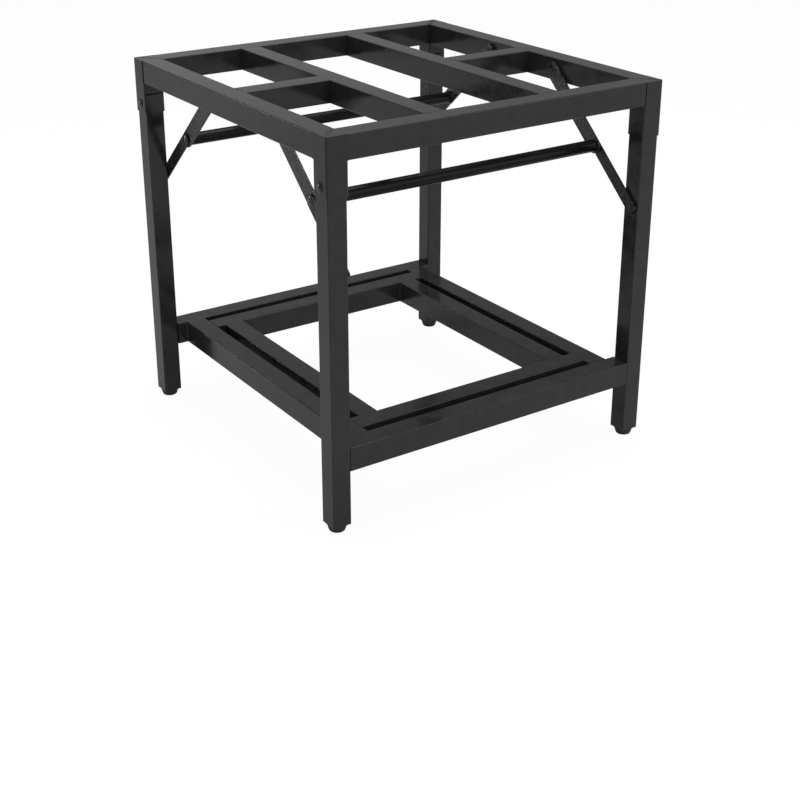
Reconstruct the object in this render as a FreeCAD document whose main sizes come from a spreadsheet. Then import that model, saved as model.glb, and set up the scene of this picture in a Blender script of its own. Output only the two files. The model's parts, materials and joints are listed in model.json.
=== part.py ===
import FreeCAD, Part
import math
import os

import Sketcher
from FreeCAD import Rotation, Vector

# Folding steel frame of a low heated table, in millimetres.
# The origin is on the floor under the middle of the frame, and +Z is up.
# Front is -Y and left is -X. Each leg pair turns about an axis along X.

doc = FreeCAD.newDocument("kotatsu_frame")
sheet = doc.addObject("Spreadsheet::Sheet", "sizes")

SIZES = [
    ("frame_width", 660, "outer size along X"),
    ("frame_depth", 660, "outer size along Y"),
    ("frame_height", 660, "floor to the top of the rails"),
    ("rail_width", 38, "rails and bars seen from above"),
    ("rail_height", 40, "rails and bars seen from the side"),
    ("rail_wall", 1.5, "steel wall of rails and bars"),
    ("rail_radius", 1.5, "outer corner of the rail tube"),
    ("long_bar_spacing", 228, "between the middles of the two long bars"),
    ("post_size", 38, "square corner post"),
    ("post_length", 95, "corner post from its top to its mouth"),
    ("post_wall", 1.5, "steel wall of the corner post"),
    ("post_radius", 3, "outer corner of the post"),
    ("post_cap", 2, "plate that closes the post at the top"),
    ("mouth_gap", 1.9, "from the folded leg to the top of the mouth"),
    ("leg_size", 34, "square leg tube"),
    ("leg_wall", 1.5, "steel wall of the leg tube"),
    ("leg_radius", 1.5, "outer corner of the leg tube"),
    ("pivot_drop", 79, "leg pivot under the top"),
    ("pin_diameter", 8, "shank of every pivot bolt and rivet"),
    ("pin_clearance", 0.1, "gap round a shank in its hole"),
    ("bolt_head_diameter", 19, "domed head of the leg pivot bolt"),
    ("bolt_head_height", 3, "dome of the leg pivot bolt"),
    ("hinge_plate_height", 33, "plate that fills the mouth of the post"),
    ("foot_gap", 0.3, "from the foot pad to the leg tube"),
    ("foot_diameter", 32, "round foot pad at its top"),
    ("foot_base_diameter", 27, "round foot pad on the floor"),
    ("foot_height", 12.2, "foot pad"),
    ("foot_lip", 4, "upright rim of the foot pad"),
    ("foot_chamfer", 1, "broken edges of the foot pad"),
    ("stud_length", 26, "threaded stud above the foot pad"),
    ("plug_height", 18, "square plug in the end of the leg"),
    ("brace_top_reach", 236, "upper brace pivot from the outer face"),
    ("brace_top_drop", 20, "upper brace pivot under the top"),
    ("brace_foot_height", 442, "lower brace pivot above the floor"),
    ("brace_standoff", 2.2, "from the leg to the lower link"),
    ("upper_link_width", 28, "flat upper link"),
    ("upper_link_thickness", 4, "flat upper link"),
    ("lower_link_width", 22, "flat lower link"),
    ("lower_link_thickness", 2.5, "flat lower link"),
    ("lower_link_tail", 13, "square end beyond the lower pivot"),
    ("lower_link_corner", 3, "rounded corners of that square end"),
    ("link_gap", 0.3, "between links, and from link pin to leg"),
    ("rivet_head_diameter", 18, "domed knee rivet"),
    ("rivet_head_height", 1.6, "domed knee rivet"),
    ("small_head_diameter", 12, "flat rivet head on the upper link"),
    ("small_head_height", 0.8, "flat rivet head on the upper link"),
    ("shoulder_diameter", 16, "shoulder that spaces a link off"),
    ("rod_diameter", 22, "tube between the two braces of a pair"),
    ("rod_wall", 1.5, "steel wall of that tube"),
    ("rod_plug_length", 20, "solid end of that tube"),
    ("knee_pin_reach", 12, "knee rivet inside the end of the rod"),
    ("shelf_height", 107.5, "floor to the underside of the low frame"),
    ("shelf_tube_width", 37, "low frame tubes seen from above"),
    ("shelf_tube_height", 42, "low frame tubes seen from the side"),
    ("shelf_wall", 1.5, "steel wall of the low frame tubes"),
    ("shelf_radius", 1.5, "outer corner of the low frame tubes"),
    ("shelf_side_offset", 55, "outer face to the low frame's side tube"),
    ("shelf_slot", 17.5, "slot between the outer and inner tubes"),
    ("shelf_end_gap", 0.5, "from the low frame to the leg"),
    ("rest_pin_diameter", 8, "pin on the leg under the low frame"),
    ("rest_pin_length", 4.5, "pin on the leg under the low frame"),
    ("rest_pin_gap", 0.8, "from that pin to the low frame"),
]
for row, (alias, value, note) in enumerate(SIZES, start=1):
    sheet.set(f"A{row}", alias)
    sheet.set(f"B{row}", str(value))
    sheet.set(f"C{row}", note)
    sheet.setAlias(f"B{row}", alias)
doc.recompute()

# Knee of the brace, as a share of the way from the lower to the upper pivot.
KNEE_SHARE = 0.435
MM3_IN_CM3 = 1000
ALIASES = sorted((name for name, *_ in SIZES), key=len, reverse=True)


def bound(text):
    """Turn a sum of size names into an expression on the sheet."""
    words = text.replace("(", " ( ").replace(")", " ) ").split()
    return " ".join("sizes." + w if w in ALIASES else w for w in words)


def value_of(text):
    """Number that a sum of size names stands for now."""
    result = sheet.evalExpression(bound(text))
    return float(getattr(result, "Value", result))


# Places worked out from the sizes, written as sums of size names.
HALF_X = "frame_width / 2"
HALF_Y = "frame_depth / 2"
RAIL_LOW = "( frame_height - rail_height )"
POST_LOW = "( frame_height - post_length )"
LEG_INSET = "( ( post_size - leg_size ) / 2 )"
LEG_INNER = "( ( post_size + leg_size ) / 2 )"
LEG_LOW = "( foot_height + foot_gap )"
PIVOT_Y = "( post_size / 2 )"
PIVOT_Z = "( frame_height - pivot_drop )"
LOWER_FACE = f"( {LEG_INNER} + brace_standoff )"
UPPER_FACE = f"( {LOWER_FACE} + lower_link_thickness + link_gap )"
TOP_Y = "brace_top_reach"
TOP_Z = "( frame_height - brace_top_drop )"
FOOT_Y = PIVOT_Y
FOOT_Z = "brace_foot_height"
KNEE_Y = f"( {FOOT_Y} + ( {TOP_Y} - {FOOT_Y} ) * {KNEE_SHARE} )"
KNEE_Z = f"( {FOOT_Z} + ( {TOP_Z} - {FOOT_Z} ) * {KNEE_SHARE} )"
HOLE = "( pin_diameter / 2 + pin_clearance )"
SHELF_INNER = "( shelf_side_offset + shelf_tube_width )"
SHELF_FRONT = f"( {LEG_INSET} + shelf_tube_width )"

nodes = []


def keep(thing, label):
    thing.Label = label
    nodes.append(thing)
    return thing


def place(thing, x, y, z, turn=0):
    """Bind a piece's position to the sheet, after its fixed turn about Z."""
    thing.Placement.Rotation = Rotation(Vector(0, 0, 1), turn)
    for axis, text in (("x", x), ("y", y), ("z", z)):
        thing.setExpression(f"Placement.Base.{axis}", bound(text))


# Sketch helpers

def new_body(label):
    body = doc.addObject("PartDesign::Body", label)
    return keep(body, label)


def new_sketch(body, role, name):
    plane = next(o for o in body.Origin.OriginFeatures if o.Role == role)
    sketch = body.newObject("Sketcher::SketchObject", f"{body.Label}_{name}")
    sketch.AttachmentSupport = [(plane, "")]
    sketch.MapMode = "FlatFace"
    return sketch


def pin_point(sketch, geometry, end, across, up):
    """Bind one point of a sketch to two sums of size names."""
    for kind, text, axis in (("DistanceX", across, -2), ("DistanceY", up, -1)):
        if text == "0":
            sketch.addConstraint(
                Sketcher.Constraint("PointOnObject", geometry, end, axis)
            )
            continue
        rule = Sketcher.Constraint(kind, geometry, end, value_of(text))
        number = sketch.addConstraint(rule)
        sketch.setExpression(f"Constraints[{number}]", bound(text))


def add_polygon(sketch, corners):
    """Closed outline of straight lines through named corners."""
    points = [Vector(value_of(a), value_of(b), 0) for a, b in corners]
    lines = [
        sketch.addGeometry(Part.LineSegment(p, q))
        for p, q in zip(points, points[1:] + points[:1])
    ]
    for one, two in zip(lines, lines[1:] + lines[:1]):
        sketch.addConstraint(Sketcher.Constraint("Coincident", one, 2, two, 1))
    for line, (across, up) in zip(lines, corners):
        pin_point(sketch, line, 1, across, up)


def add_rectangle(sketch, left, right, low, high):
    corners = [(left, low), (right, low), (right, high), (left, high)]
    add_polygon(sketch, corners)


def add_circle(sketch, across, up, radius):
    middle = Vector(value_of(across), value_of(up), 0)
    circle = Part.Circle(middle, Vector(0, 0, 1), value_of(radius))
    number = sketch.addGeometry(circle)
    pin_point(sketch, number, 3, across, up)
    set_radius(sketch, number, radius)


def set_radius(sketch, geometry, radius):
    rule = Sketcher.Constraint("Radius", geometry, value_of(radius))
    number = sketch.addConstraint(rule)
    sketch.setExpression(f"Constraints[{number}]", bound(radius))


def add_slot(sketch, start, end, radius):
    """Outline with two round ends about two named points."""
    p, q = (Vector(value_of(a), value_of(b), 0) for a, b in (start, end))
    size = value_of(radius)
    along = (q - p).normalize()
    angle = math.atan2(along.y, along.x)
    side = Vector(-along.y, along.x, 0) * size
    quarter = math.pi / 2
    up = Vector(0, 0, 1)
    first = Part.ArcOfCircle(
        Part.Circle(p, up, size), angle + quarter, angle + 3 * quarter
    )
    last = Part.ArcOfCircle(
        Part.Circle(q, up, size), angle - quarter, angle + quarter
    )
    a = sketch.addGeometry(first)
    b = sketch.addGeometry(Part.LineSegment(p - side, q - side))
    c = sketch.addGeometry(last)
    d = sketch.addGeometry(Part.LineSegment(q + side, p + side))
    for one, two in ((a, b), (b, c), (c, d), (d, a)):
        sketch.addConstraint(Sketcher.Constraint("Tangent", one, 2, two, 1))
    pin_point(sketch, a, 3, *start)
    pin_point(sketch, c, 3, *end)
    set_radius(sketch, a, radius)


# Feature helpers

def pad(body, sketch, length, backwards=False):
    feature = body.newObject("PartDesign::Pad", sketch.Name + "_pad")
    feature.Profile = sketch
    feature.setExpression("Length", bound(length))
    feature.Reversed = backwards
    return feature


def pocket_through(body, sketch):
    """Cut right through on both sides of the sketch, and prove it cuts."""
    doc.recompute()
    before = body.Shape.Volume
    feature = body.newObject("PartDesign::Pocket", sketch.Name + "_pocket")
    feature.Profile = sketch
    feature.Type = "ThroughAll"
    feature.Midplane = True
    doc.recompute()
    if body.Shape.Volume >= before:
        raise RuntimeError(f"{body.Label}: {sketch.Name} cuts nothing")
    return feature


def pocket_blind(body, sketch, depth, backwards):
    """Cut to a depth from the sketch, and prove it cuts."""
    doc.recompute()
    before = body.Shape.Volume
    feature = body.newObject("PartDesign::Pocket", sketch.Name + "_pocket")
    feature.Profile = sketch
    feature.setExpression("Length", bound(depth))
    feature.Reversed = backwards
    doc.recompute()
    if body.Shape.Volume >= before:
        raise RuntimeError(f"{body.Label}: {sketch.Name} cuts nothing")
    return feature


def round_edges(body, feature, axis, radius, wanted=None):
    """Round the straight edges along one axis, or the wanted ones of them."""
    doc.recompute()
    names = []
    for number, edge in enumerate(feature.Shape.Edges, start=1):
        if edge.Curve.TypeId != "Part::GeomLine":
            continue
        along = edge.tangentAt(edge.FirstParameter)
        parallel = math.isclose(abs(along.dot(axis)), 1)
        if parallel and (wanted is None or wanted(edge)):
            names.append(f"Edge{number}")
    rounding = body.newObject("PartDesign::Fillet", body.Name + "_rounding")
    rounding.Base = (feature, names)
    rounding.setExpression("Radius", bound(radius))
    return rounding


def revolve(body, sketch, axis):
    feature = body.newObject("PartDesign::Revolution", sketch.Name + "_turn")
    feature.Profile = sketch
    feature.ReferenceAxis = (sketch, [axis])
    feature.Angle = 360
    return feature


# Square and oblong tubes

TUBE_PLANES = {
    "X": ("YZ_Plane", Vector(1, 0, 0), False),
    "Y": ("XZ_Plane", Vector(0, 1, 0), True),
}


def make_tube(label, along, sizes, length, x, y, z):
    """Hollow tube along X or Y, from its lowest corner."""
    width, height, wall, radius = sizes
    role, axis, backwards = TUBE_PLANES[along]
    body = new_body(label)
    outside = new_sketch(body, role, "outside")
    add_rectangle(outside, "0", width, "0", height)
    solid = pad(body, outside, length, backwards)
    round_edges(body, solid, axis, radius)
    inside = new_sketch(body, role, "inside")
    add_rectangle(inside, wall, f"{width} - {wall}", wall, f"{height} - {wall}")
    pocket_through(body, inside)
    place(body, x, y, z)
    return body


RAIL = ("rail_width", "rail_height", "rail_wall", "rail_radius")
SHELF = ("shelf_tube_width", "shelf_tube_height", "shelf_wall", "shelf_radius")
MINUS_X = f"- {HALF_X}"
MINUS_Y = f"- {HALF_Y}"
BAR_X = "( long_bar_spacing / 2 - rail_width / 2 )"


def make_top_frame():
    across = "frame_width - 2 * post_size"
    deep = "frame_depth - 2 * post_size"
    inner_x = f"{MINUS_X} + post_size"
    inner_y = f"{MINUS_Y} + post_size"
    far_x = f"{HALF_X} - rail_width"
    far_y = f"{HALF_Y} - rail_width"
    make_tube("front_rail", "X", RAIL, across, inner_x, MINUS_Y, RAIL_LOW)
    make_tube("back_rail", "X", RAIL, across, inner_x, far_y, RAIL_LOW)
    make_tube("left_rail", "Y", RAIL, deep, MINUS_X, inner_y, RAIL_LOW)
    make_tube("right_rail", "Y", RAIL, deep, far_x, inner_y, RAIL_LOW)

    bar_length = "frame_depth - 2 * rail_width"
    bar_y = f"{MINUS_Y} + rail_width"
    left_bar_x = f"- {BAR_X} - rail_width"
    make_tube("left_long_bar", "Y", RAIL, bar_length, left_bar_x, bar_y, RAIL_LOW)
    make_tube("right_long_bar", "Y", RAIL, bar_length, BAR_X, bar_y, RAIL_LOW)

    short = f"{HALF_X} - 2 * rail_width - {BAR_X}"
    short_y = "- rail_width / 2"
    left_x = f"{MINUS_X} + rail_width"
    right_x = f"{BAR_X} + rail_width"
    make_tube("left_short_bar", "X", RAIL, short, left_x, short_y, RAIL_LOW)
    make_tube("right_short_bar", "X", RAIL, short, right_x, short_y, RAIL_LOW)


def make_shelf():
    """Low frame: four outer tubes and four inner ones behind a slot."""
    rail_x = f"{MINUS_X} + {LEG_INNER} + shelf_end_gap"
    rail_length = f"frame_width - 2 * ( {LEG_INNER} + shelf_end_gap )"
    front_y = f"{MINUS_Y} + {LEG_INSET}"
    back_y = f"{HALF_Y} - {SHELF_FRONT}"
    low = "shelf_height"
    make_tube("shelf_front_rail", "X", SHELF, rail_length, rail_x, front_y, low)
    make_tube("shelf_back_rail", "X", SHELF, rail_length, rail_x, back_y, low)

    side_length = f"frame_depth - 2 * {SHELF_FRONT}"
    side_y = f"{MINUS_Y} + {SHELF_FRONT}"
    left_x = f"{MINUS_X} + shelf_side_offset"
    right_x = f"{HALF_X} - {SHELF_INNER}"
    make_tube("shelf_left_tube", "Y", SHELF, side_length, left_x, side_y, low)
    make_tube("shelf_right_tube", "Y", SHELF, side_length, right_x, side_y, low)

    cross_length = f"frame_width - 2 * {SHELF_INNER}"
    cross_x = f"{MINUS_X} + {SHELF_INNER}"
    cross_front = f"{side_y} + shelf_slot"
    cross_back = f"{back_y} - shelf_slot - shelf_tube_width"
    make_tube("shelf_front_cross_tube", "X", SHELF, cross_length, cross_x,
              cross_front, low)
    make_tube("shelf_back_cross_tube", "X", SHELF, cross_length, cross_x,
              cross_back, low)

    inner_length = f"{side_length} - 2 * ( shelf_slot + shelf_tube_width )"
    inner_y = f"{cross_front} + shelf_tube_width"
    inner_left = f"{cross_x} + shelf_slot"
    inner_right = f"{right_x} - shelf_slot - shelf_tube_width"
    make_tube("shelf_left_inner_tube", "Y", SHELF, inner_length, inner_left,
              inner_y, low)
    make_tube("shelf_right_inner_tube", "Y", SHELF, inner_length, inner_right,
              inner_y, low)


# Pieces of one corner. Their own frame starts at the table's outer corner
# on the floor, with Y inwards along the way the leg folds.

CORNERS = [
    ("front_left", -1, -1),
    ("front_right", 1, -1),
    ("back_left", -1, 1),
    ("back_right", 1, 1),
]


def place_in_corner(thing, side, end, from_outside, z="0"):
    """Put a piece's X=0 plane a distance inside the outer side face."""
    x = f"{HALF_X} - {from_outside}"
    y = HALF_Y if end > 0 else MINUS_Y
    place(thing, x if side > 0 else f"- ( {x} )", y, z, 180 if end > 0 else 0)


def runs_inwards_backwards(side, end):
    """True where the table's middle lies on the corner frame's -X side."""
    return side * end < 0


def make_post(name, side, end):
    body = new_body(f"{name}_corner_post")
    backwards = runs_inwards_backwards(side, end)
    outline = new_sketch(body, "YZ_Plane", "outline")
    add_rectangle(outline, "0", "post_size", "0", "post_length")
    solid = pad(body, outline, "post_size", backwards)
    round_edges(body, solid, Vector(0, 0, 1), "post_radius")
    hollow = new_sketch(body, "XY_Plane", "hollow")
    near, far = "post_wall", "( post_size - post_wall )"
    if backwards:
        near, far = f"- {far}", "- post_wall"
    add_rectangle(hollow, near, far, "post_wall", "post_size - post_wall")
    pocket_blind(body, hollow, "post_length - post_cap", True)
    mouth = new_sketch(body, "XZ_Plane", "mouth")
    pivot_up = "( post_length - pivot_drop )"
    mouth_high = f"{pivot_up} + leg_size / 2 + mouth_gap"
    mouth.setExpression("AttachmentOffset.Base.z", bound("- post_size / 2"))
    add_rectangle(mouth, near, far, "0", mouth_high)
    pocket_blind(body, mouth, "post_size", False)
    bore = new_sketch(body, "YZ_Plane", "bore")
    add_circle(bore, PIVOT_Y, pivot_up, HOLE)
    pocket_blind(body, bore, "post_size / 2", not backwards)
    place_in_corner(body, side, end, "0", POST_LOW)


def make_leg(name, side, end):
    body = new_body(f"{name}_leg")
    backwards = runs_inwards_backwards(side, end)
    height = f"( {PIVOT_Z} - {LEG_LOW} )"
    outline = new_sketch(body, "YZ_Plane", "outline")
    add_leg_outline(outline, height)
    solid = pad(body, outline, "leg_size", backwards)
    round_edges(body, solid, Vector(0, 0, 1), "leg_radius")
    hollow = new_sketch(body, "XY_Plane", "hollow")
    near, far = "leg_wall", "( leg_size - leg_wall )"
    if backwards:
        near, far = f"- {far}", "- leg_wall"
    low_y = f"{LEG_INSET} + leg_wall"
    add_rectangle(hollow, near, far, low_y, f"{LEG_INNER} - leg_wall")
    pocket_through(body, hollow)
    bore = new_sketch(body, "YZ_Plane", "bore")
    add_circle(bore, PIVOT_Y, height, HOLE)
    pocket_through(body, bore)
    place_in_corner(body, side, end, LEG_INSET, LEG_LOW)


def add_leg_outline(sketch, height):
    """Upright strip that ends in a half circle about the pivot."""
    left, right, top = (value_of(t) for t in (LEG_INSET, LEG_INNER, height))
    radius = (right - left) / 2
    middle = Vector((left + right) / 2, top, 0)
    arc = Part.ArcOfCircle(Part.Circle(middle, Vector(0, 0, 1), radius), 0, math.pi)
    low_left, low_right = Vector(left, 0, 0), Vector(right, 0, 0)
    a = sketch.addGeometry(Part.LineSegment(low_left, low_right))
    b = sketch.addGeometry(Part.LineSegment(low_right, Vector(right, top, 0)))
    c = sketch.addGeometry(arc)
    d = sketch.addGeometry(Part.LineSegment(Vector(left, top, 0), low_left))
    sketch.addConstraint(Sketcher.Constraint("Coincident", a, 2, b, 1))
    sketch.addConstraint(Sketcher.Constraint("Tangent", b, 2, c, 1))
    sketch.addConstraint(Sketcher.Constraint("Tangent", c, 2, d, 1))
    sketch.addConstraint(Sketcher.Constraint("Coincident", d, 2, a, 1))
    sketch.addConstraint(Sketcher.Constraint("Vertical", b))
    pin_point(sketch, a, 1, LEG_INSET, "0")
    pin_point(sketch, a, 2, LEG_INNER, "0")
    pin_point(sketch, c, 3, PIVOT_Y, height)


def make_hinge_plate(name, side, end):
    """Flat plate on the leg that closes the mouth of the post."""
    body = new_body(f"{name}_hinge_plate")
    outline = new_sketch(body, "YZ_Plane", "outline")
    add_rectangle(outline, LEG_INNER, "post_size", "0", "hinge_plate_height")
    pad(body, outline, "leg_size", runs_inwards_backwards(side, end))
    place_in_corner(body, side, end, LEG_INSET, POST_LOW)


def make_leg_plug(name, side, end):
    """Square plug in the leg's end, bored for the foot's stud."""
    body = new_body(f"{name}_leg_plug")
    outline = new_sketch(body, "XY_Plane", "outline")
    half = "( leg_size / 2 - leg_wall )"
    add_rectangle(outline, f"- {half}", half, f"- {half}", half)
    add_circle(outline, "0", "0", HOLE)
    pad(body, outline, "plug_height")
    place_under_leg(body, side, end, LEG_LOW)


def make_foot(name, side, end):
    """Round pad with a stud that screws into the plug."""
    body = new_body(f"{name}_foot")
    base = "( foot_base_diameter / 2 )"
    rim = "( foot_diameter / 2 )"
    stud = "( pin_diameter / 2 )"
    lip = "( foot_height - foot_lip )"
    profile = new_sketch(body, "XZ_Plane", "profile")
    add_polygon(profile, [
        ("0", "0"),
        (f"{base} - foot_chamfer", "0"),
        (base, "foot_chamfer"),
        (rim, lip),
        (rim, "foot_height - foot_chamfer"),
        (f"{rim} - foot_chamfer", "foot_height"),
        (stud, "foot_height"),
        (stud, "foot_height + stud_length"),
        ("0", "foot_height + stud_length"),
    ])
    revolve(body, profile, "V_Axis")
    place_under_leg(body, side, end, "0")


def place_under_leg(thing, side, end, z):
    x = f"{HALF_X} - {PIVOT_Y}"
    y = f"{HALF_Y} - {PIVOT_Y}"
    place(thing, x if side > 0 else f"- ( {x} )",
          y if end > 0 else f"- ( {y} )", z)


# Braces: each has an upper link, a narrower lower link and a knee.

def make_upper_link(name, side, end):
    """Flat bar with two round ends."""
    body = new_body(f"{name}_upper_link")
    backwards = runs_inwards_backwards(side, end)
    top, knee = (TOP_Y, TOP_Z), (KNEE_Y, KNEE_Z)
    outline = new_sketch(body, "YZ_Plane", "outline")
    add_slot(outline, top, knee, "upper_link_width / 2")
    add_circle(outline, *top, HOLE)
    add_circle(outline, *knee, HOLE)
    pad(body, outline, "upper_link_thickness", backwards)
    place_in_corner(body, side, end, UPPER_FACE)


def make_lower_link(name, side, end):
    """Flat bar, round at the knee and cut square past the lower pivot."""
    body = new_body(f"{name}_lower_link")
    backwards = runs_inwards_backwards(side, end)
    outline = new_sketch(body, "YZ_Plane", "outline")
    add_lower_outline(outline)
    add_circle(outline, FOOT_Y, FOOT_Z, HOLE)
    add_circle(outline, KNEE_Y, KNEE_Z, HOLE)
    solid = pad(body, outline, "lower_link_thickness", backwards)
    knee_y, knee_z = value_of(KNEE_Y), value_of(KNEE_Z)
    span = math.dist((knee_y, knee_z), (value_of(FOOT_Y), value_of(FOOT_Z)))
    corner_reach = span + value_of("lower_link_tail / 2")

    def past_the_pivot(edge):
        middle = edge.CenterOfMass
        return math.dist((middle.y, middle.z), (knee_y, knee_z)) > corner_reach

    round_edges(body, solid, Vector(1, 0, 0), "lower_link_corner", past_the_pivot)
    place_in_corner(body, side, end, LOWER_FACE)


def add_lower_outline(sketch):
    knee = Vector(value_of(KNEE_Y), value_of(KNEE_Z), 0)
    foot = Vector(value_of(FOOT_Y), value_of(FOOT_Z), 0)
    radius = value_of("lower_link_width / 2")
    along = (foot - knee).normalize()
    tail = foot + along * value_of("lower_link_tail")
    side = Vector(-along.y, along.x, 0) * radius
    angle = math.atan2(-along.y, -along.x)
    quarter = math.pi / 2
    circle = Part.Circle(knee, Vector(0, 0, 1), radius)
    a = sketch.addGeometry(Part.ArcOfCircle(circle, angle - quarter, angle + quarter))
    b = sketch.addGeometry(Part.LineSegment(knee - side, tail - side))
    c = sketch.addGeometry(Part.LineSegment(tail - side, tail + side))
    d = sketch.addGeometry(Part.LineSegment(tail + side, knee + side))
    middle = sketch.addGeometry(Part.LineSegment(knee, foot), True)
    stub = sketch.addGeometry(Part.LineSegment(foot, tail), True)
    sketch.addConstraint(Sketcher.Constraint("Tangent", a, 2, b, 1))
    sketch.addConstraint(Sketcher.Constraint("Coincident", b, 2, c, 1))
    sketch.addConstraint(Sketcher.Constraint("Coincident", c, 2, d, 1))
    sketch.addConstraint(Sketcher.Constraint("Tangent", d, 2, a, 1))
    sketch.addConstraint(Sketcher.Constraint("Perpendicular", b, c))
    sketch.addConstraint(Sketcher.Constraint("Parallel", b, middle))
    sketch.addConstraint(Sketcher.Constraint("Coincident", middle, 1, a, 3))
    sketch.addConstraint(Sketcher.Constraint("Coincident", middle, 2, stub, 1))
    sketch.addConstraint(Sketcher.Constraint("Parallel", middle, stub))
    sketch.addConstraint(Sketcher.Constraint("PointOnObject", stub, 2, c))
    pin_point(sketch, middle, 1, KNEE_Y, KNEE_Z)
    pin_point(sketch, middle, 2, FOOT_Y, FOOT_Z)
    set_radius(sketch, a, "lower_link_width / 2")
    length = Sketcher.Constraint("Distance", stub, value_of("lower_link_tail"))
    number = sketch.addConstraint(length)
    sketch.setExpression(f"Constraints[{number}]", bound("lower_link_tail"))


def make_rod(name, end):
    """Round tube with solid bored ends, between the two knees."""
    body = new_body(f"{name}_brace_rod")
    half = f"( {HALF_X} - {UPPER_FACE} - upper_link_thickness )"
    outer = "( rod_diameter / 2 )"
    inner = "( rod_diameter / 2 - rod_wall )"
    plug = f"( {half} - rod_plug_length )"
    profile = new_sketch(body, "XY_Plane", "profile")
    add_polygon(profile, [
        (f"- {half}", HOLE), (f"- {plug}", HOLE), (f"- {plug}", inner),
        (plug, inner), (plug, HOLE), (half, HOLE),
        (half, outer), (f"- {half}", outer),
    ])
    revolve(body, profile, "H_Axis")
    y = f"{HALF_Y} - {KNEE_Y}"
    place(body, "0", y if end > 0 else f"- ( {y} )", KNEE_Z)


# Fasteners are turned about X, then grouped by kind.

def make_turned(name, profile_corners, dome=None):
    """Turned pin, from its corners in order of X and radius."""
    body = doc.addObject("PartDesign::Body", name)
    body.Label = name
    profile = new_sketch(body, "XY_Plane", "profile")
    if dome is None:
        add_polygon(profile, profile_corners)
    else:
        add_domed_profile(profile, profile_corners, *dome)
    revolve(body, profile, "H_Axis")
    return body


def add_domed_profile(sketch, corners, tip, height, radius):
    """Closed outline whose first stretch is the arc of a domed head."""
    start_x, rim_x = value_of(tip), value_of(corners[0][0])
    head, rise = value_of(radius), value_of(height)
    ball = (head * head + rise * rise) / (2 * rise)
    toward = 1 if rim_x > start_x else -1
    middle = Vector(start_x + toward * ball, 0, 0)
    spread = math.asin(head / ball)
    circle = Part.Circle(middle, Vector(0, 0, 1), ball)
    if toward > 0:
        arc = Part.ArcOfCircle(circle, math.pi - spread, math.pi)
    else:
        arc = Part.ArcOfCircle(circle, 0, spread)
    number = sketch.addGeometry(arc)
    points = [Vector(value_of(a), value_of(b), 0) for a, b in corners]
    points.append(Vector(start_x, 0, 0))
    lines = [
        sketch.addGeometry(Part.LineSegment(p, q))
        for p, q in zip(points, points[1:])
    ]
    for one, two in zip(lines, lines[1:]):
        sketch.addConstraint(Sketcher.Constraint("Coincident", one, 2, two, 1))
    first, last = lines[0], lines[-1]
    if toward > 0:
        sketch.addConstraint(Sketcher.Constraint("Coincident", number, 1, first, 1))
        sketch.addConstraint(Sketcher.Constraint("Coincident", number, 2, last, 2))
    else:
        sketch.addConstraint(Sketcher.Constraint("Coincident", number, 2, first, 1))
        sketch.addConstraint(Sketcher.Constraint("Coincident", number, 1, last, 2))
    sketch.addConstraint(Sketcher.Constraint("PointOnObject", number, 3, -1))
    for line, (across, up) in zip(lines, corners):
        pin_point(sketch, line, 1, across, up)
    pin_point(sketch, last, 2, tip, "0")


def group(label, pieces):
    compound = doc.addObject("Part::Compound", label)
    compound.Links = pieces
    return keep(compound, label)


def signed(side, text):
    """A distance from the outer side face, as a place along X."""
    x = f"( {HALF_X} - {text} )"
    return x if side > 0 else f"- {x}"


def make_pivot_bolt(name, side, end):
    """Domed bolt through the leg, up to the inside of the post's far wall."""
    shank, head = "( pin_diameter / 2 )", "( bolt_head_diameter / 2 )"
    inside = signed(side, "( post_size - post_wall )")
    corners = [
        (signed(side, "0"), head), (signed(side, "0"), shank),
        (inside, shank), (inside, "0"),
    ]
    tip = f"( {HALF_X} + bolt_head_height )"
    dome = (tip if side > 0 else f"- {tip}", "bolt_head_height", head)
    body = make_turned(f"{name}_pivot_bolt", corners, dome)
    y = f"{HALF_Y} - {PIVOT_Y}"
    place(body, "0", y if end > 0 else f"- ( {y} )", PIVOT_Z)
    return body


def make_top_rivet(name, side, end):
    """Shoulder rivet that carries the upper link on the side rail."""
    shank, shoulder = "( pin_diameter / 2 )", "( shoulder_diameter / 2 )"
    head = "( small_head_diameter / 2 )"
    ledge = f"( {UPPER_FACE} - pin_clearance )"
    seat = f"( {UPPER_FACE} + upper_link_thickness + pin_clearance )"
    top = f"( {seat} + small_head_height )"
    corners = [
        (signed(side, "rail_width"), "0"), (signed(side, "rail_width"), shoulder),
        (signed(side, ledge), shoulder), (signed(side, ledge), shank),
        (signed(side, seat), shank), (signed(side, seat), head),
        (signed(side, top), head), (signed(side, top), "0"),
    ]
    body = make_turned(f"{name}_top_rivet", corners)
    y = f"{HALF_Y} - {TOP_Y}"
    place(body, "0", y if end > 0 else f"- ( {y} )", TOP_Z)
    return body


def make_knee_rivet(name, side, end):
    """Domed rivet through both links into the end of the rod."""
    shank, head = "( pin_diameter / 2 )", "( rivet_head_diameter / 2 )"
    seat = f"( {LOWER_FACE} - pin_clearance )"
    reach = f"( {UPPER_FACE} + upper_link_thickness + knee_pin_reach )"
    corners = [
        (signed(side, seat), head), (signed(side, seat), shank),
        (signed(side, reach), shank), (signed(side, reach), "0"),
    ]
    tip = signed(side, f"( {seat} - rivet_head_height )")
    body = make_turned(f"{name}_knee_rivet", corners, (tip, "rivet_head_height", head))
    y = f"{HALF_Y} - {KNEE_Y}"
    place(body, "0", y if end > 0 else f"- ( {y} )", KNEE_Z)
    return body


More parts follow.
